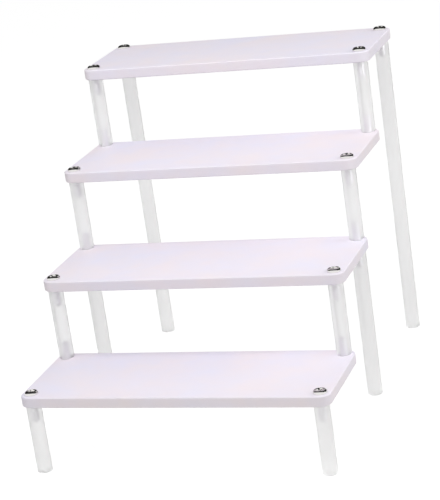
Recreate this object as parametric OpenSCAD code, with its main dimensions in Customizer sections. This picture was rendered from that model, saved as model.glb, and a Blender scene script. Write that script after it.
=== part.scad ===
// Tiered shelf riser: four opal sheets that step up and back on clear round rods.
// Screws go down through the sheets into tapped rod ends. Where a post stands on a sheet with
// no leg under it, the screw comes up from below. At the back of the second sheet a stud joins
// the post above to the middle leg below.
// Millimetres, Z up, X to the right, Y to the back. The origin is on the floor under the middle.

/* [Shelves] */
// Length of each shelf, left to right
shelf_length = 250; // [150:1:400]
// Depth of each shelf, front to back
shelf_depth = 91; // [70:1:140]
// Thickness of the sheet
sheet_thickness = 8.5; // [5:0.5:10]
// Radius of the shelf corners, seen from above
corner_radius = 9; // [3:0.5:14]
// Polished bevel around the top and bottom rim of each shelf
rim_bevel = 0.6; // [0.2:0.1:1]
// Distance from each hole to the two nearest edges
hole_inset = 8.5; // [7:0.5:14]

/* [Rods] */
// Diameter of every rod
rod_diameter = 12; // [9:0.5:16]
// Length of the posts between one shelf and the next
post_length = 59.5; // [45:0.5:120]
// Length of the legs under the front of the lowest shelf
front_leg_length = 57; // [45:1:120]
// Bevel around each rod end
rod_end_bevel = 0.6; // [0.2:0.1:1]

/* [Fasteners] */
// Outside diameter of the screw and stud threads
thread_diameter = 4; // [3:0.5:5]
// Length of the screw below its head
screw_length = 20; // [16:1:25]
// Length of the stud that joins a post and a leg through a shelf
stud_length = 32; // [26:1:36]
// Diameter of the screw head
head_diameter = 11; // [8:0.5:12]
// Height of the screw head at its middle
head_height = 2.8; // [2.6:0.1:3.6]
// Radius of the rounded shoulder of the screw head
shoulder_radius = 2; // [1.2:0.1:2]
// Radius of the crown across the top of the screw head
crown_radius = 20; // [18:1:30]
// Tip to tip length of the cross recess
recess_span = 5.2; // [3:0.1:6]
// Width of each arm of the cross recess
recess_width = 1.4; // [0.6:0.1:1.6]
// Depth of the cross recess below the top of the head
recess_depth = 1.7; // [0.8:0.1:2]
// Bevel at the tip of each screw and at both ends of each stud
thread_end_bevel = 0.5; // [0.2:0.1:0.9]

/* [Fits] */
// Gap all round a thread where it passes through a shelf
hole_gap = 0.25; // [0.1:0.05:0.6]
// Gap all round a thread in the rod end that it is screwed into
thread_gap = 0.05; // [0.02:0.01:0.15]
// Straight bore left free beyond the end of the thread
bore_spare = 2; // [0.5:0.5:4]
// Point angle of the drill that made the rod bores
drill_point_angle = 118; // [90:1:140]

/* [Hidden] */
$fn = 48;
// How far each cutter stands out past the face that it cuts
cutter_overrun = 1;
left = -1;
right = 1;
front = -1;
back = 1;
// Place of the riser's middle, counted in shelves from the lowest
middle_tier = 2.5;

hole_x = shelf_length / 2 - hole_inset;
hole_y = shelf_depth / 2 - hole_inset;
tier_run = 2 * hole_y;
tier_rise = post_length + sheet_thickness;
screw_bore_depth = screw_length - sheet_thickness + bore_spare;
stud_bore_depth = (stud_length - sheet_thickness) / 2 + bore_spare;
thread_radius = thread_diameter / 2;
bore_radius = thread_radius + thread_gap;
head_radius = head_diameter / 2;
crown_centre = head_height - crown_radius;
// Distance from the screw's axis to the centre of the shoulder and to where it meets the crown
shoulder_reach = head_radius - shoulder_radius;
crown_reach = shoulder_reach * crown_radius / (crown_radius - shoulder_radius);
// The straight rim is as high as it must be for the shoulder to run smoothly into the crown
rim_height = crown_centre + sqrt(pow(crown_radius - shoulder_radius, 2) - pow(shoulder_reach, 2));

function shelf_y(tier) = (tier - middle_tier) * tier_run;
function shelf_z(tier) = front_leg_length + (tier - 1) * tier_rise;

// Moves its children from the middle of a shelf's underside to one of its holes
module at_hole(tier, side, end) {
    translate([side * hole_x, shelf_y(tier) + end * hole_y, shelf_z(tier)]) children();
}

// Upright round bar with both rims bevelled
module round_bar(radius, length, bevel) {
    rotate_extrude()
        polygon([
            [0, 0],
            [radius - bevel, 0],
            [radius, bevel],
            [radius, length - bevel],
            [radius - bevel, length],
            [0, length]
        ]);
}

// End view of a sheet of the given width, with its four long rims bevelled
module sheet_end(width) {
    side = width / 2;
    polygon([
        [rim_bevel - side, 0],
        [side - rim_bevel, 0],
        [side, rim_bevel],
        [side, sheet_thickness - rim_bevel],
        [side - rim_bevel, sheet_thickness],
        [rim_bevel - side, sheet_thickness],
        [-side, sheet_thickness - rim_bevel],
        [-side, rim_bevel]
    ]);
}

// Sheet with rounded corners, bevelled all round its top and bottom rim
module sheet() {
    straight_x = shelf_length - 2 * corner_radius;
    straight_y = shelf_depth - 2 * corner_radius;
    rotate([90, 0, 90])
        linear_extrude(straight_x, center = true) sheet_end(shelf_depth);
    rotate([90, 0, 0])
        linear_extrude(straight_y, center = true) sheet_end(shelf_length);
    for (x = [-straight_x / 2, straight_x / 2], y = [-straight_y / 2, straight_y / 2])
        translate([x, y, 0]) round_bar(corner_radius, sheet_thickness, rim_bevel);
}

module shelf(tier) {
    color("lavender")
        translate([0, shelf_y(tier), shelf_z(tier)])
            difference() {
                sheet();
                for (x = [-hole_x, hole_x], y = [-hole_y, hole_y])
                    translate([x, y, -cutter_overrun])
                        cylinder(r = thread_radius + hole_gap, h = sheet_thickness + 2 * cutter_overrun);
            }
}

// Cutter for a blind bore with a drill point, going up from a rod's lower end
module blind_bore(depth) {
    point_height = bore_radius / tan(drill_point_angle / 2);
    rotate_extrude()
        polygon([
            [0, -cutter_overrun],
            [bore_radius, -cutter_overrun],
            [bore_radius, depth],
            [0, depth + point_height]
        ]);
}

// Rod standing on its lower end, with a blind bore in each end that has a bore depth above zero
module rod(length, lower_bore, upper_bore) {
    color("gainsboro", 0.6)
        difference() {
            round_bar(rod_diameter / 2, length, rod_end_bevel);
            if (lower_bore > 0)
                blind_bore(lower_bore);
            if (upper_bore > 0)
                translate([0, 0, length]) mirror([0, 0, 1]) blind_bore(upper_bore);
        }
}

// Leg from the floor up to one hole of a shelf
module leg(tier, side, end, bore_depth) {
    at_hole(tier, side, end)
        translate([0, 0, -shelf_z(tier)]) rod(shelf_z(tier), 0, bore_depth);
}

// Post from the back hole of a shelf up to the front hole of the next one
module post(tier, side, lower_bore) {
    at_hole(tier, side, back)
        translate([0, 0, sheet_thickness]) rod(post_length, lower_bore, screw_bore_depth);
}

// Thread standing on z = 0, bevelled at its upper end
module thread(length) {
    rotate_extrude()
        polygon([
            [0, 0],
            [thread_radius, 0],
            [thread_radius, length - thread_end_bevel],
            [thread_radius - thread_end_bevel, length],
            [0, length]
        ]);
}

// Half section of a pan head: a straight rim, a round shoulder and a crowned top
module head_section() {
    square([head_radius, rim_height]);
    intersection() {
        square([head_radius, head_height]);
        translate([shoulder_reach, rim_height]) circle(shoulder_radius);
    }
    intersection() {
        square([crown_reach, head_height]);
        translate([0, crown_centre]) circle(crown_radius);
    }
}

// Screw with the underside of its head on z = 0 and its thread pointing down
module screw() {
    color("silver") {
        difference() {
            rotate_extrude() head_section();
            for (turn = [0, 90])
                rotate(turn)
                    translate([-recess_span / 2, -recess_width / 2, head_height - recess_depth])
                        cube([recess_span, recess_width, recess_depth + cutter_overrun]);
        }
        mirror([0, 0, 1]) thread(screw_length);
    }
}

// Screws down through the holes at one end of a shelf
module screws_from_above(tier, end) {
    for (side = [left, right])
        at_hole(tier, side, end)
            translate([0, 0, sheet_thickness]) screw();
}

// Screws up through the back holes of a shelf into the posts that stand on it
module screws_from_below(tier) {
    for (side = [left, right])
        at_hole(tier, side, back)
            mirror([0, 0, 1]) screw();
}

// Studs through the back holes of a shelf, reaching as far into the posts as into the legs
module studs(tier) {
    color("silver")
        for (side = [left, right])
            at_hole(tier, side, back)
                translate([0, 0, sheet_thickness / 2])
                    for (way = [0, 1])
                        mirror([0, 0, way]) thread(stud_length / 2);
}

shelf(1);  // shelf_1
shelf(2);  // shelf_2
shelf(3);  // shelf_3
shelf(4);  // shelf_4
leg(1, left, front, screw_bore_depth);  // front_leg_left
leg(1, right, front, screw_bore_depth);  // front_leg_right
post(1, left, screw_bore_depth);  // post_1_left
post(1, right, screw_bore_depth);  // post_1_right
post(2, left, stud_bore_depth);  // post_2_left
post(2, right, stud_bore_depth);  // post_2_right
post(3, left, screw_bore_depth);  // post_3_left
post(3, right, screw_bore_depth);  // post_3_right
leg(2, left, back, stud_bore_depth);  // middle_leg_left
leg(2, right, back, stud_bore_depth);  // middle_leg_right
leg(4, left, back, screw_bore_depth);  // rear_leg_left
leg(4, right, back, screw_bore_depth);  // rear_leg_right
screws_from_above(1, front);  // screws_shelf_1_top
screws_from_above(2, front);  // screws_shelf_2_top
screws_from_above(3, front);  // screws_shelf_3_top
union() {  // screws_shelf_4_top
    screws_from_above(4, front);
    screws_from_above(4, back);
}
screws_from_below(1);  // screws_shelf_1_under
screws_from_below(3);  // screws_shelf_3_under
studs(2);  // studs_shelf_2
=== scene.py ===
import math

import bpy
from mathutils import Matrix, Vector


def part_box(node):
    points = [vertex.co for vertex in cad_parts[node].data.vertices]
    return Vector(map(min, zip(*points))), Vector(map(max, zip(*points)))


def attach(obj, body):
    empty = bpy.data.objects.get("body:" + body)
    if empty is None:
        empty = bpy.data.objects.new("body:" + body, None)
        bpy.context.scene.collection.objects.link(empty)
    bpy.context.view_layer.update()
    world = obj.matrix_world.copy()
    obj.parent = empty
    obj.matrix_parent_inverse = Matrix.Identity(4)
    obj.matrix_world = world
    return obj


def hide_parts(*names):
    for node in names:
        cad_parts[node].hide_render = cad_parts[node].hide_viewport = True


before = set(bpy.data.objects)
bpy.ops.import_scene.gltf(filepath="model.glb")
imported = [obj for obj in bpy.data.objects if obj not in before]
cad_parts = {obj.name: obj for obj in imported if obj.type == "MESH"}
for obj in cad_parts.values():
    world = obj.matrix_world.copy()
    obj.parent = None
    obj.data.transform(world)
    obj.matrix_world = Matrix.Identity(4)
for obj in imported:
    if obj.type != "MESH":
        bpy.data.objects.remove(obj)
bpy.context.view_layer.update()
# One millimetre in metres
MM = 0.001

# Sizes in millimetres, the same as the solids have
HOLE_INSET = 8.5
THREAD_DIAMETER = 4.0
THREAD_GAP = 0.05
SCREW_LENGTH = 20.0
STUD_LENGTH = 32.0
HEAD_DIAMETER = 11.0
HEAD_HEIGHT = 2.8
SHOULDER_RADIUS = 2.0
CROWN_RADIUS = 20.0
ROD_END_BEVEL = 0.6
BORE_SPARE = 2.0
DRILL_POINT_ANGLE = math.radians(118)

# Finer sizes in millimetres, which only the visible pieces have
THREAD_PITCH = 0.7
THREAD_DEPTH = 0.4
# Depth of the tapped groove in the bore wall
TAP_DEPTH = 0.1
# Cross recess at its mouth, and the share of its size that is left at its floor
RECESS_SPAN = 6.2
RECESS_WIDTH = 2.4
RECESS_DEPTH = 1.9
RECESS_TAPER = 0.3

# Corners round each rod, and rings in one turn of its tapped groove
ROD_SIDES = 72
GROOVE_STEPS = 6
# Corners round a screw head, and rings across it
HEAD_SIDES = 64
HEAD_RINGS = 24
# Corners round the core of a thread, steps in one turn of its ridge, and corners round the ridge
CORE_SIDES = 32
RIDGE_STEPS = 20
RIDGE_SIDES = 6
# Faces that meet at more than this angle keep a crisp edge
CRISP_EDGE = math.radians(35)

# Sizes that follow from the ones above and from the frame
SHELVES = ["shelf_1", "shelf_2", "shelf_3", "shelf_4"]
sheet_low, sheet_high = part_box(SHELVES[0])
SHEET_THICKNESS = (sheet_high.z - sheet_low.z) / MM
BORE_RADIUS = THREAD_DIAMETER / 2 + THREAD_GAP
SCREW_BORE_DEPTH = SCREW_LENGTH - SHEET_THICKNESS + BORE_SPARE
STUD_BORE_DEPTH = (STUD_LENGTH - SHEET_THICKNESS) / 2 + BORE_SPARE
DRILL_POINT_HEIGHT = BORE_RADIUS / math.tan(DRILL_POINT_ANGLE / 2)
HEAD_RADIUS = HEAD_DIAMETER / 2
CROWN_CENTRE = HEAD_HEIGHT - CROWN_RADIUS
# Distance from the screw's axis to the centre of the shoulder and to where it meets the crown
SHOULDER_REACH = HEAD_RADIUS - SHOULDER_RADIUS
CROWN_REACH = SHOULDER_REACH * CROWN_RADIUS / (CROWN_RADIUS - SHOULDER_RADIUS)
RIM_HEIGHT = CROWN_CENTRE + math.sqrt((CROWN_RADIUS - SHOULDER_RADIUS) ** 2 - SHOULDER_REACH ** 2)

# Each rod with the depths of its lower and upper bores
RODS = {
    "front_leg": (0, SCREW_BORE_DEPTH),
    "post_1": (SCREW_BORE_DEPTH, SCREW_BORE_DEPTH),
    "post_2": (STUD_BORE_DEPTH, SCREW_BORE_DEPTH),
    "post_3": (SCREW_BORE_DEPTH, SCREW_BORE_DEPTH),
    "middle_leg": (0, STUD_BORE_DEPTH),
    "rear_leg": (0, SCREW_BORE_DEPTH),
}
# Finishes of a rod's faces, in the order of its materials
EXTRUDED, TAPPED, SAWN = range(3)
ACRYLIC_IOR = 1.49

# Stage, in metres
FLOOR_REACH = 8.0
# The floor lies a hair under the feet, so that no face of the riser lies in it
FLOOR_LEVEL = -0.0003
# How brightly the floor is seen, and how brightly the room lights the riser
FLOOR_GLOW = 0.93
ROOM_LIGHT = 0.3
# The card stands behind and above the riser
CARD_CORNERS = [(-4.0, 1.6, 0.25), (2.5, 1.6, 0.25), (2.5, -0.5, 2.6), (-4.0, -0.5, 2.6)]
# Each light with its place, the point that it faces, its width and its watts
LIGHTS = {
    "overhead_front": ((0.0, -0.52, 1.12), (0.0, 0.0, 0.1), 0.7, 9.4),
    "right": ((1.2, 0.2, 0.7), (0.0, 0.0, 0.15), 0.8, 6.7),
}
# Camera, fitted to the shelf edges and rods in the photograph: metres, degrees and millimetres
CAMERA_PLACE = (0.4945, -1.3378, 0.5848)
CAMERA_TURN = (72.062, 7.89, 17.729)
CAMERA_LENS = 131.97
CAMERA_SENSOR = 36.0


# Nodes
def linear(hex_colour):
    """An sRGB hex colour as the linear colour that the shaders take."""
    channels = [int(hex_colour[i:i + 2], 16) / 255 for i in (1, 3, 5)]
    return [c / 12.92 if c <= 0.04045 else ((c + 0.055) / 1.055) ** 2.4 for c in channels] + [1.0]


def add(tree, kind, settings=(), inputs=()):
    """A new node with its settings. Each input takes a value, or the output that feeds it."""
    made = tree.nodes.new(kind)
    for name, value in dict(settings).items():
        setattr(made, name, value)
    for name, value in dict(inputs).items():
        if isinstance(value, bpy.types.NodeSocket):
            tree.links.new(value, made.inputs[name])
        else:
            made.inputs[name].default_value = value
    return made


# Materials
def new_material(name):
    """An empty node material and its tree."""
    material = bpy.data.materials.new(name)
    material.use_nodes = True
    material.node_tree.nodes.clear()
    return material, material.node_tree


def opal_acrylic():
    """Cast opal acrylic sheet with a satin finish.

    To the eye it is a soft white with a lavender cast that drifts a little from pink to blue, as
    the pigment does in a cast sheet, and it glows slightly because light scatters inside it.
    """
    material, tree = new_material("opal_acrylic_cast_satin")
    place = add(tree, "ShaderNodeTexCoord").outputs["Object"]
    # Pigment clouds about 45 mm across
    cloud = add(tree, "ShaderNodeTexNoise", (), {
        "Vector": place, "Scale": 1 / (45 * MM), "Detail": 3.0, "Roughness": 0.55}).outputs["Fac"]
    tint = add(tree, "ShaderNodeValToRGB", (), {"Fac": cloud})
    tint.color_ramp.elements[0].position = 0.3
    tint.color_ramp.elements[0].color = linear("#EFE6EC")
    tint.color_ramp.elements[1].position = 0.7
    tint.color_ramp.elements[1].color = linear("#E9E6F4")
    # Satin haze, in patches about 6 mm across
    haze = add(tree, "ShaderNodeTexNoise", (),
               {"Vector": place, "Scale": 1 / (6 * MM), "Detail": 2.0}).outputs["Fac"]
    gloss = add(tree, "ShaderNodeMapRange", (), {"Value": haze, "To Min": 0.55, "To Max": 0.65})
    surface = add(tree, "ShaderNodeBsdfPrincipled", (), {
        "Base Color": tint.outputs["Color"], "Roughness": gloss.outputs["Result"], "IOR": ACRYLIC_IOR,
        "Subsurface Weight": 0.15, "Subsurface Scale": 4 * MM, "Subsurface Radius": (1.0, 0.9, 1.0)})
    add(tree, "ShaderNodeOutputMaterial", (), {"Surface": surface.outputs["BSDF"]})
    return material


def let_lamps_through(tree, surface):
    """Ends the tree of a clear material, which lets part of the lamps' light straight through."""
    shadow = add(tree, "ShaderNodeLightPath").outputs["Is Shadow Ray"]
    passing = add(tree, "ShaderNodeBsdfTransparent", (), {"Color": linear("#D8D8D8")})
    mix = add(tree, "ShaderNodeMixShader", (),
              {0: shadow, 1: surface.outputs["BSDF"], 2: passing.outputs["BSDF"]})
    add(tree, "ShaderNodeOutputMaterial", (), {"Surface": mix.outputs["Shader"]})


def clear_acrylic():
    """Extruded acrylic rod, clear but slightly milky, with the soft gloss of the die.

    To the eye it is a flat pale grey that lets the bores in its ends show through faintly. The draw
    lines of the extrusion run along it.
    """
    material, tree = new_material("clear_acrylic_milky_extruded")
    place = add(tree, "ShaderNodeTexCoord").outputs["Object"]
    # Draw lines about 1.5 mm apart round the rod, stretched along it
    stretch = add(tree, "ShaderNodeMapping", (), {"Vector": place, "Scale": (1.0, 1.0, 0.03)})
    lines = add(tree, "ShaderNodeTexNoise", (), {
        "Vector": stretch.outputs["Vector"], "Scale": 1 / (1.5 * MM), "Detail": 2.0}).outputs["Fac"]
    milk = add(tree, "ShaderNodeValToRGB", (), {"Fac": lines})
    milk.color_ramp.elements[0].color = linear("#EEEEEE")
    milk.color_ramp.elements[1].color = linear("#F1F1F1")
    gloss = add(tree, "ShaderNodeMapRange", (), {"Value": lines, "To Min": 0.27, "To Max": 0.29})
    surface = add(tree, "ShaderNodeBsdfPrincipled", (), {
        "Base Color": milk.outputs["Color"], "Roughness": gloss.outputs["Result"], "IOR": ACRYLIC_IOR,
        "Transmission Weight": 0.86})
    let_lamps_through(tree, surface)
    return material


def tapped_acrylic():
    """Clear acrylic cut by a drill and a tap.

    To the eye the cut wall is a frosted silver inside the rod, because the air behind it turns the
    light back as a mirror does, and it hides most of the screw.
    """
    material, tree = new_material("clear_acrylic_drilled_and_tapped")
    place = add(tree, "ShaderNodeTexCoord").outputs["Object"]
    # Tool marks about 0.5 mm across
    mark = add(tree, "ShaderNodeTexNoise", (),
               {"Vector": place, "Scale": 1 / (0.5 * MM), "Detail": 2.0}).outputs["Fac"]
    frost = add(tree, "ShaderNodeValToRGB", (), {"Fac": mark})
    frost.color_ramp.elements[0].color = linear("#F6F5F9")
    frost.color_ramp.elements[1].color = linear("#FDFCFE")
    surface = add(tree, "ShaderNodeBsdfPrincipled", (),
                  {"Base Color": frost.outputs["Color"], "Roughness": 0.3, "Metallic": 1.0})
    add(tree, "ShaderNodeOutputMaterial", (), {"Surface": surface.outputs["BSDF"]})
    return material


def sawn_acrylic():
    """Clear acrylic rod cut off with a fine saw.

    To the eye it is a frosted end that blurs what the rod stands on.
    """
    material, tree = new_material("clear_acrylic_fine_sawn")
    place = add(tree, "ShaderNodeTexCoord").outputs["Object"]
    # Saw marks about 0.4 mm apart, stretched across the rod
    stretch = add(tree, "ShaderNodeMapping", (), {"Vector": place, "Scale": (1.0, 0.1, 1.0)})
    marks = add(tree, "ShaderNodeTexNoise", (), {
        "Vector": stretch.outputs["Vector"], "Scale": 1 / (0.4 * MM), "Detail": 2.0}).outputs["Fac"]
    frost = add(tree, "ShaderNodeValToRGB", (), {"Fac": marks})
    frost.color_ramp.elements[0].color = linear("#EEEEEE")
    frost.color_ramp.elements[1].color = linear("#F6F6F6")
    surface = add(tree, "ShaderNodeBsdfPrincipled", (), {
        "Base Color": frost.outputs["Color"], "Roughness": 1.0, "IOR": ACRYLIC_IOR,
        "Transmission Weight": 1.0})
    let_lamps_through(tree, surface)
    return material


def plated_steel():
    """Cold-headed steel with bright nickel plating.

    To the eye it is a clear mirror, a little softened where the plating is uneven.
    """
    material, tree = new_material("steel_bright_nickel_plated")
    place = add(tree, "ShaderNodeTexCoord").outputs["Object"]
    # Uneven plating in patches about 1 mm across
    patch = add(tree, "ShaderNodeTexNoise", (),
                {"Vector": place, "Scale": 1 / MM, "Detail": 2.0}).outputs["Fac"]
    gloss = add(tree, "ShaderNodeMapRange", (), {"Value": patch, "To Min": 0.08, "To Max": 0.18})
    surface = add(tree, "ShaderNodeBsdfPrincipled", (),
                  {"Base Color": linear("#E8E6E4"), "Metallic": 1.0, "Roughness": gloss.outputs["Result"]})
    add(tree, "ShaderNodeOutputMaterial", (), {"Surface": surface.outputs["BSDF"]})
    return material


def seen_white(tree):
    """One for the camera, a reflection or a view through a rod, and zero for the light on the riser."""
    path = add(tree, "ShaderNodeLightPath").outputs
    look = add(tree, "ShaderNodeMath", {"operation": "MAXIMUM"},
               {0: path["Is Camera Ray"], 1: path["Is Glossy Ray"]})
    return add(tree, "ShaderNodeMath", {"operation": "MAXIMUM"},
               {0: look.outputs[0], 1: path["Is Transmission Ray"]}).outputs[0]


def pale_floor():
    """Matt white paper sweep: white where it is looked at, with a faint shadow under the riser."""
    material, tree = new_material("paper_matt_white")
    paper = add(tree, "ShaderNodeBsdfDiffuse", (), {"Color": linear("#E6E4DC")})
    shade = add(tree, "ShaderNodeBsdfDiffuse", (), {"Color": linear("#7A7A7A")})
    glow = add(tree, "ShaderNodeEmission", (), {"Color": linear("#FFFFFF"), "Strength": FLOOR_GLOW})
    lit = add(tree, "ShaderNodeAddShader", (), {0: shade.outputs["BSDF"], 1: glow.outputs["Emission"]})
    mix = add(tree, "ShaderNodeMixShader", (),
              {0: seen_white(tree), 1: paper.outputs["BSDF"], 2: lit.outputs["Shader"]})
    add(tree, "ShaderNodeOutputMaterial", (), {"Surface": mix.outputs["Shader"]})
    return material


def dark_card():
    """Dark grey card that the bright screw heads reflect."""
    material, tree = new_material("card_matt_dark_grey")
    grey = add(tree, "ShaderNodeBsdfDiffuse", (), {"Color": linear("#484848")})
    add(tree, "ShaderNodeOutputMaterial", (), {"Surface": grey.outputs["BSDF"]})
    return material


# Screws and studs
def start_tree(name, lengths):
    """A Geometry Nodes tree that takes points, the named lengths, a turn, a seed and a metal."""
    tree = bpy.data.node_groups.new(name, "GeometryNodeTree")
    inputs = [("Points", "Geometry")] + [(length, "Float") for length in lengths]
    inputs += [("Turn", "Vector"), ("Seed", "Int"), ("Metal", "Material")]
    for socket, kind in inputs:
        tree.interface.new_socket(name=socket, in_out="INPUT", socket_type="NodeSocket" + kind)
    tree.interface.new_socket(name="Fasteners", in_out="OUTPUT", socket_type="NodeSocketGeometry")
    return tree, add(tree, "NodeGroupInput").outputs


def arc_height(tree, radius, reach):
    """Height of a circle above its centre, at a distance from its upright axis."""
    whole = add(tree, "ShaderNodeMath", {"operation": "POWER"}, {0: radius, 1: 2.0}).outputs[0]
    part = add(tree, "ShaderNodeMath", {"operation": "POWER"}, {0: reach, 1: 2.0}).outputs[0]
    rest = add(tree, "ShaderNodeMath", {"operation": "SUBTRACT"}, {0: whole, 1: part}).outputs[0]
    return add(tree, "ShaderNodeMath", {"operation": "SQRT"}, {0: rest}).outputs[0]


def pan_head(tree, given):
    """A screw head on z = 0 with a straight rim, a round shoulder and a crowned top."""
    radius = given["Head Radius"]
    blank = add(tree, "GeometryNodeMeshCone", {"fill_type": "TRIANGLE_FAN"}, {
        "Vertices": HEAD_SIDES, "Fill Segments": HEAD_RINGS, "Radius Top": radius,
        "Radius Bottom": radius, "Depth": given["Rim Height"]})
    spot = add(tree, "GeometryNodeInputPosition").outputs["Position"]
    flat = add(tree, "ShaderNodeVectorMath", {"operation": "MULTIPLY"}, {0: spot, 1: (1.0, 1.0, 0.0)})
    ray = add(tree, "ShaderNodeVectorMath", {"operation": "NORMALIZE"}, {0: flat.outputs["Vector"]})
    even = add(tree, "ShaderNodeVectorMath", {"operation": "LENGTH"}, {0: flat.outputs["Vector"]})
    # The rings of points crowd towards the rim, where the shoulder is steep
    angle = add(tree, "ShaderNodeMapRange", (),
                {"Value": even.outputs["Value"], "From Max": radius, "To Max": math.pi / 2})
    crowd = add(tree, "ShaderNodeMath", {"operation": "SINE"}, {0: angle.outputs["Result"]})
    reach = add(tree, "ShaderNodeMath", {"operation": "MULTIPLY"},
                {0: crowd.outputs[0], 1: radius}).outputs[0]
    crown = add(tree, "ShaderNodeMath", {"operation": "ADD"},
                {0: arc_height(tree, given["Crown Radius"], reach), 1: given["Crown Centre"]})
    past = add(tree, "ShaderNodeMath", {"operation": "SUBTRACT"}, {0: reach, 1: given["Shoulder Reach"]})
    shoulder = add(tree, "ShaderNodeMath", {"operation": "ADD"},
                   {0: arc_height(tree, given["Shoulder Radius"], past.outputs[0]), 1: given["Rim Height"]})
    outer = add(tree, "ShaderNodeMath", {"operation": "GREATER_THAN"}, {0: reach, 1: given["Crown Reach"]})
    height = add(tree, "GeometryNodeSwitch", {"input_type": "FLOAT"}, {
        "Switch": outer.outputs[0], "False": crown.outputs[0], "True": shoulder.outputs[0]})
    level = add(tree, "ShaderNodeVectorMath", {"operation": "SCALE"},
                {0: ray.outputs["Vector"], "Scale": reach})
    rise = add(tree, "ShaderNodeCombineXYZ", (), {"Z": height.outputs["Output"]})
    place = add(tree, "ShaderNodeVectorMath", {"operation": "ADD"},
                {0: level.outputs["Vector"], 1: rise.outputs["Vector"]})
    head = add(tree, "GeometryNodeSetPosition", (), {
        "Geometry": blank.outputs["Mesh"], "Selection": blank.outputs["Top"],
        "Position": place.outputs["Vector"]})
    return head.outputs["Geometry"]


def cross_recess(tree, given, head):
    """The head with a cross cut into its top, each arm narrowing from its stated size to its floor."""
    twice = add(tree, "ShaderNodeMath", {"operation": "MULTIPLY"}, {0: given["Recess Depth"], 1: 2.0})
    size = add(tree, "ShaderNodeCombineXYZ", (),
               {"X": given["Recess Span"], "Y": given["Recess Width"], "Z": twice.outputs[0]})
    arm = add(tree, "GeometryNodeMeshCube", (), {"Size": size.outputs["Vector"]})
    spot = add(tree, "GeometryNodeInputPosition").outputs["Position"]
    height = add(tree, "ShaderNodeSeparateXYZ", (), {"Vector": spot}).outputs["Z"]
    share = add(tree, "ShaderNodeMath", {"operation": "DIVIDE"}, {0: height, 1: given["Recess Depth"]})
    slope = add(tree, "ShaderNodeMath", {"operation": "MULTIPLY"},
                {0: share.outputs[0], 1: 1.0 - RECESS_TAPER})
    spread = add(tree, "ShaderNodeCombineXYZ", (), {"X": slope.outputs[0], "Y": slope.outputs[0]})
    shift = add(tree, "ShaderNodeVectorMath", {"operation": "MULTIPLY"},
                {0: spot, 1: spread.outputs["Vector"]})
    arm = add(tree, "GeometryNodeSetPosition", (),
              {"Geometry": arm.outputs["Mesh"], "Offset": shift.outputs["Vector"]})
    top = add(tree, "ShaderNodeCombineXYZ", (), {"Z": given["Head Height"]}).outputs["Vector"]
    cross = add(tree, "GeometryNodeMeshBoolean", {"operation": "DIFFERENCE", "solver": "EXACT"},
                {"Mesh 1": head})
    for turn in (0.0, math.pi / 2):
        placed = add(tree, "GeometryNodeTransform", (), {
            "Geometry": arm.outputs["Geometry"], "Translation": top, "Rotation": (0.0, 0.0, turn)})
        tree.links.new(placed.outputs["Geometry"], cross.inputs["Mesh 2"])
    return cross.outputs["Mesh"]


def thread_body(tree, given, length):
    """A thread that hangs down from z = 0: a core and the ridge wound round it."""
    depth = given["Thread Depth"]
    core_radius = add(tree, "ShaderNodeMath", {"operation": "SUBTRACT"},
                      {0: given["Thread Radius"], 1: depth}).outputs[0]
    core = add(tree, "GeometryNodeMeshCylinder", (),
               {"Vertices": CORE_SIDES, "Radius": core_radius, "Depth": length})
    half = add(tree, "ShaderNodeMath", {"operation": "MULTIPLY"}, {0: length, 1: -0.5})
    middle = add(tree, "ShaderNodeCombineXYZ", (), {"Z": half.outputs[0]})
    core = add(tree, "GeometryNodeTransform", (),
               {"Geometry": core.outputs["Mesh"], "Translation": middle.outputs["Vector"]})
    # The ridge stops one thread depth short of each end, so that it stays within the length
    wound = add(tree, "ShaderNodeMath", {"operation": "MULTIPLY_ADD"},
                {0: depth, 1: -2.0, 2: length}).outputs[0]
    turns = add(tree, "ShaderNodeMath", {"operation": "DIVIDE"}, {0: wound, 1: given["Thread Pitch"]})
    spiral = add(tree, "GeometryNodeCurveSpiral", (), {
        "Resolution": RIDGE_STEPS, "Rotations": turns.outputs[0], "Start Radius": core_radius,
        "End Radius": core_radius, "Height": wound})
    section = add(tree, "GeometryNodeCurvePrimitiveCircle", (), {"Resolution": RIDGE_SIDES, "Radius": depth})
    ridge = add(tree, "GeometryNodeCurveToMesh", (), {
        "Curve": spiral.outputs["Curve"], "Profile Curve": section.outputs["Curve"], "Fill Caps": True})
    drop = add(tree, "ShaderNodeMath", {"operation": "SUBTRACT"}, {0: depth, 1: length})
    low = add(tree, "ShaderNodeCombineXYZ", (), {"Z": drop.outputs[0]})
    ridge = add(tree, "GeometryNodeTransform", (),
                {"Geometry": ridge.outputs["Mesh"], "Translation": low.outputs["Vector"]})
    return [core.outputs["Geometry"], ridge.outputs["Geometry"]]


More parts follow.
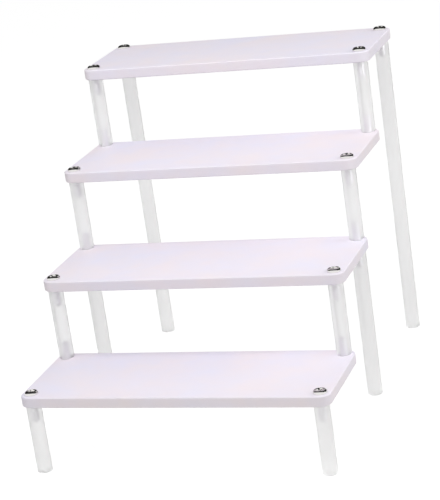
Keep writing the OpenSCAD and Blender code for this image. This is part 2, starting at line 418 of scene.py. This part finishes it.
def end_tree(tree, given, pieces):
    """Joins the pieces, puts one copy on each point and makes them plain mesh of one metal."""
    joined = add(tree, "GeometryNodeJoinGeometry")
    for piece in pieces:
        tree.links.new(piece, joined.inputs["Geometry"])
    smooth = add(tree, "GeometryNodeSetShadeSmooth", {"domain": "FACE"},
                 {"Geometry": joined.outputs["Geometry"], "Shade Smooth": True})
    angle = add(tree, "GeometryNodeInputMeshEdgeAngle").outputs["Unsigned Angle"]
    crisp = add(tree, "ShaderNodeMath", {"operation": "GREATER_THAN"}, {0: angle, 1: CRISP_EDGE})
    edged = add(tree, "GeometryNodeSetShadeSmooth", {"domain": "EDGE"}, {
        "Geometry": smooth.outputs["Geometry"], "Selection": crisp.outputs[0], "Shade Smooth": False})
    copies = add(tree, "GeometryNodeInstanceOnPoints", (), {
        "Points": given["Points"], "Instance": edged.outputs["Geometry"], "Rotation": given["Turn"]})
    # Each one stops at its own angle when it is driven home
    stop = add(tree, "FunctionNodeRandomValue", {"data_type": "FLOAT_VECTOR"},
               {"Min": (0.0, 0.0, 0.0), "Max": (0.0, 0.0, math.pi / 2), "Seed": given["Seed"]})
    driven = add(tree, "GeometryNodeRotateInstances", (),
                 {"Instances": copies.outputs["Instances"], "Rotation": stop.outputs["Value"]})
    plain = add(tree, "GeometryNodeRealizeInstances", (), {"Geometry": driven.outputs["Instances"]})
    metal = add(tree, "GeometryNodeSetMaterial", (),
                {"Geometry": plain.outputs["Geometry"], "Material": given["Metal"]})
    add(tree, "NodeGroupOutput", (), {"Fasteners": metal.outputs["Geometry"]})


def screw_tree():
    """Screws with a pan head, a cross recess and a wound thread, one at each point."""
    tree, given = start_tree("pan_head_cross_screws", [
        "Thread Radius", "Thread Pitch", "Thread Depth", "Screw Length", "Head Radius", "Head Height",
        "Rim Height", "Shoulder Radius", "Shoulder Reach", "Crown Radius", "Crown Centre", "Crown Reach",
        "Recess Span", "Recess Width", "Recess Depth"])
    head = cross_recess(tree, given, pan_head(tree, given))
    end_tree(tree, given, [head] + thread_body(tree, given, given["Screw Length"]))
    return tree


def stud_tree():
    """Headless threaded studs, one hanging down from each point."""
    tree, given = start_tree("threaded_studs", [
        "Thread Radius", "Thread Pitch", "Thread Depth", "Stud Length"])
    end_tree(tree, given, thread_body(tree, given, given["Stud Length"]))
    return tree


def fasteners(node, tree, points, inputs):
    """A node's fasteners as one plain mesh made by a tree, which stands for that node."""
    mesh = bpy.data.meshes.new(node + "_detailed")
    mesh.from_pydata(points, [], [])
    piece = bpy.data.objects.new(node + "_detailed", mesh)
    bpy.context.scene.collection.objects.link(piece)
    modifier = piece.modifiers.new(tree.name, "NODES")
    modifier.node_group = tree
    for item in tree.interface.items_tree:
        if item.in_out == "INPUT" and item.name in inputs:
            modifier[item.identifier] = inputs[item.name]
    made = piece.evaluated_get(bpy.context.evaluated_depsgraph_get())
    piece.data = bpy.data.meshes.new_from_object(made)
    piece.modifiers.clear()
    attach(piece, "root")
    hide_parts(node)


def holes(shelf, height, ends):
    """Hole centres of a shelf at one height, at its front or back or both."""
    low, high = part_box(shelf)
    inset = HOLE_INSET * MM
    depths = {"front": low.y + inset, "back": high.y - inset}
    return [(x, depths[end], height) for end in ends for x in (low.x + inset, high.x - inset)]


# Rods
def bore_rings(depth):
    """Rings of a tapped bore from its mouth inwards: how deep each lies and its radius at each corner."""
    if depth == 0:
        return []
    steps = round(depth / (THREAD_PITCH / GROOVE_STEPS))
    rings = []
    for step in range(steps + 1):
        level = depth * step / steps
        # The groove fades out over one turn at the mouth and at the bottom
        fade = min(1.0, level / THREAD_PITCH, (depth - level) / THREAD_PITCH)
        radii = []
        for side in range(ROD_SIDES):
            phase = (level / THREAD_PITCH - side / ROD_SIDES) % 1.0
            radii.append(BORE_RADIUS + TAP_DEPTH * fade * (1 - abs(2 * phase - 1)))
        rings.append((level, radii))
    return rings


def rod_rings(radius, length, lower_bore, upper_bore):
    """Rings of a rod from the end of its lower bore, out over its skin and into its upper bore.

    Each has its height, its radius at each corner and the finish of the faces before it.
    """
    rings = [(level, radii, TAPPED) for level, radii in reversed(bore_rings(lower_bore))]
    for height, ring_radius, finish in (
            (0, radius - ROD_END_BEVEL, SAWN),
            (ROD_END_BEVEL, radius, EXTRUDED),
            (length - ROD_END_BEVEL, radius, EXTRUDED),
            (length, radius - ROD_END_BEVEL, EXTRUDED)):
        rings.append((height, [ring_radius] * ROD_SIDES, finish))
    rings += [(length - level, radii, TAPPED if level else SAWN) for level, radii in bore_rings(upper_bore)]
    return rings


def rod(name, lower_bore, upper_bore, acrylic):
    """A round rod with bevelled ends and a tapped bore in each end that has a bore depth."""
    low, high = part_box(name)
    length = (high.z - low.z) / MM
    rings = rod_rings((high.x - low.x) / 2 / MM, length, lower_bore, upper_bore)
    first = lower_bore + DRILL_POINT_HEIGHT if lower_bore else 0
    last = length - upper_bore - DRILL_POINT_HEIGHT if upper_bore else length
    turns = [2 * math.pi * side / ROD_SIDES for side in range(ROD_SIDES)]
    points = [(0.0, 0.0, first)]
    for height, radii, _ in rings:
        for reach, turn in zip(radii, turns):
            points.append((reach * math.cos(turn), reach * math.sin(turn), height))
    points.append((0.0, 0.0, last))

    end = len(points) - 1
    faces = []
    finishes = []
    for side in range(ROD_SIDES):
        after = (side + 1) % ROD_SIDES
        faces.append((0, 1 + after, 1 + side))
        finishes.append(TAPPED if lower_bore else SAWN)
        faces.append((end, end - ROD_SIDES + side, end - ROD_SIDES + after))
        finishes.append(TAPPED if upper_bore else SAWN)
        for ring, (_, _, finish) in enumerate(rings[1:]):
            near = 1 + ring * ROD_SIDES
            far = near + ROD_SIDES
            faces.append((near + side, near + after, far + after, far + side))
            finishes.append(finish)

    foot = Vector(((low.x + high.x) / 2, (low.y + high.y) / 2, low.z))
    mesh = bpy.data.meshes.new(name + "_tapped")
    mesh.from_pydata([foot + Vector(point) * MM for point in points], [], faces)
    for material in acrylic:
        mesh.materials.append(material)
    mesh.polygons.foreach_set("material_index", finishes)
    mesh.shade_smooth()
    mesh.set_sharp_from_angle(angle=CRISP_EDGE)
    piece = bpy.data.objects.new(name + "_tapped", mesh)
    bpy.context.scene.collection.objects.link(piece)
    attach(piece, "root")
    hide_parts(name)


# Stage
def stage_sheet(name, corners, material):
    """A flat four-cornered sheet of the stage."""
    mesh = bpy.data.meshes.new(name)
    mesh.from_pydata(corners, [], [(0, 1, 2, 3)])
    mesh.materials.append(material)
    sheet = bpy.data.objects.new(name, mesh)
    bpy.context.scene.collection.objects.link(sheet)
    return sheet


def reflected_card():
    """The dark card, which only mirrors show."""
    card = stage_sheet("card", CARD_CORNERS, dark_card())
    card.visible_camera = False
    card.visible_diffuse = False
    card.visible_transmission = False
    card.visible_shadow = False


def studio():
    """The room round the stage: white where it is looked at, and a weak light on the riser."""
    world = bpy.data.worlds.new("studio")
    bpy.context.scene.world = world
    world.use_nodes = True
    tree = world.node_tree
    tree.nodes.clear()
    room = add(tree, "ShaderNodeBackground", (), {"Color": linear("#FFFFFF"), "Strength": ROOM_LIGHT})
    white = add(tree, "ShaderNodeBackground", (), {"Color": linear("#FFFFFF"), "Strength": 1.0})
    mix = add(tree, "ShaderNodeMixShader", (),
              {0: seen_white(tree), 1: room.outputs["Background"], 2: white.outputs["Background"]})
    add(tree, "ShaderNodeOutputWorld", (), {"Surface": mix.outputs["Shader"]})


def soft_light(name, place, target, size, watts):
    """A square soft light that faces a point and makes no mirror image of itself."""
    lamp = bpy.data.lights.new(name, "AREA")
    lamp.size = size
    lamp.energy = watts
    light = bpy.data.objects.new(name, lamp)
    light.location = place
    light.rotation_euler = (Vector(target) - Vector(place)).to_track_quat("-Z", "Y").to_euler()
    light.visible_glossy = False
    bpy.context.scene.collection.objects.link(light)


def photo_camera():
    """A camera that sees the riser as the photograph does."""
    lens = bpy.data.cameras.new("camera")
    lens.lens = CAMERA_LENS
    lens.sensor_width = CAMERA_SENSOR
    camera = bpy.data.objects.new("camera", lens)
    camera.location = CAMERA_PLACE
    camera.rotation_euler = [math.radians(turn) for turn in CAMERA_TURN]
    bpy.context.scene.collection.objects.link(camera)
    bpy.context.scene.camera = camera


# The pieces of the riser
opal = opal_acrylic()
acrylic = [clear_acrylic(), tapped_acrylic(), sawn_acrylic()]
metal = plated_steel()
for name in SHELVES:
    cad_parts[name].material_slots[0].material = opal
for name, (lower_bore, upper_bore) in RODS.items():
    for side in ("left", "right"):
        rod(f"{name}_{side}", lower_bore, upper_bore, acrylic)

thread_sizes = {"Thread Radius": THREAD_DIAMETER / 2 * MM, "Thread Pitch": THREAD_PITCH * MM,
                "Thread Depth": THREAD_DEPTH * MM}
screw_sizes = {
    **thread_sizes, "Screw Length": SCREW_LENGTH * MM, "Head Radius": HEAD_RADIUS * MM,
    "Head Height": HEAD_HEIGHT * MM, "Rim Height": RIM_HEIGHT * MM,
    "Shoulder Radius": SHOULDER_RADIUS * MM, "Shoulder Reach": SHOULDER_REACH * MM,
    "Crown Radius": CROWN_RADIUS * MM, "Crown Centre": CROWN_CENTRE * MM, "Crown Reach": CROWN_REACH * MM,
    "Recess Span": RECESS_SPAN * MM, "Recess Width": RECESS_WIDTH * MM, "Recess Depth": RECESS_DEPTH * MM}
heads_up = {**screw_sizes, "Turn": (0.0, 0.0, 0.0), "Metal": metal}
heads_down = {**screw_sizes, "Turn": (math.pi, 0.0, 0.0), "Metal": metal}
screws = screw_tree()
for seed, shelf in enumerate(SHELVES):
    low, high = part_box(shelf)
    ends = ("front", "back") if shelf == "shelf_4" else ("front",)
    fasteners(f"screws_{shelf}_top", screws, holes(shelf, high.z, ends), {**heads_up, "Seed": seed})
    if shelf in ("shelf_1", "shelf_3"):
        fasteners(f"screws_{shelf}_under", screws, holes(shelf, low.z, ("back",)),
                  {**heads_down, "Seed": seed})
    if shelf == "shelf_2":
        stud_top = (low.z + high.z + STUD_LENGTH * MM) / 2
        stud_sizes = {**thread_sizes, "Stud Length": STUD_LENGTH * MM}
        fasteners(f"studs_{shelf}", stud_tree(), holes(shelf, stud_top, ("back",)),
                  {**stud_sizes, "Turn": (0.0, 0.0, 0.0), "Seed": seed, "Metal": metal})

# The stage round them
stage_sheet("floor", [(x, y, FLOOR_LEVEL) for x, y in (
    (-FLOOR_REACH, -FLOOR_REACH), (FLOOR_REACH, -FLOOR_REACH),
    (FLOOR_REACH, FLOOR_REACH), (-FLOOR_REACH, FLOOR_REACH))], pale_floor())
reflected_card()
studio()
for name, (place, target, size, watts) in LIGHTS.items():
    soft_light(name, place, target, size, watts)
photo_camera()
bpy.context.scene.view_settings.view_transform = "Standard"
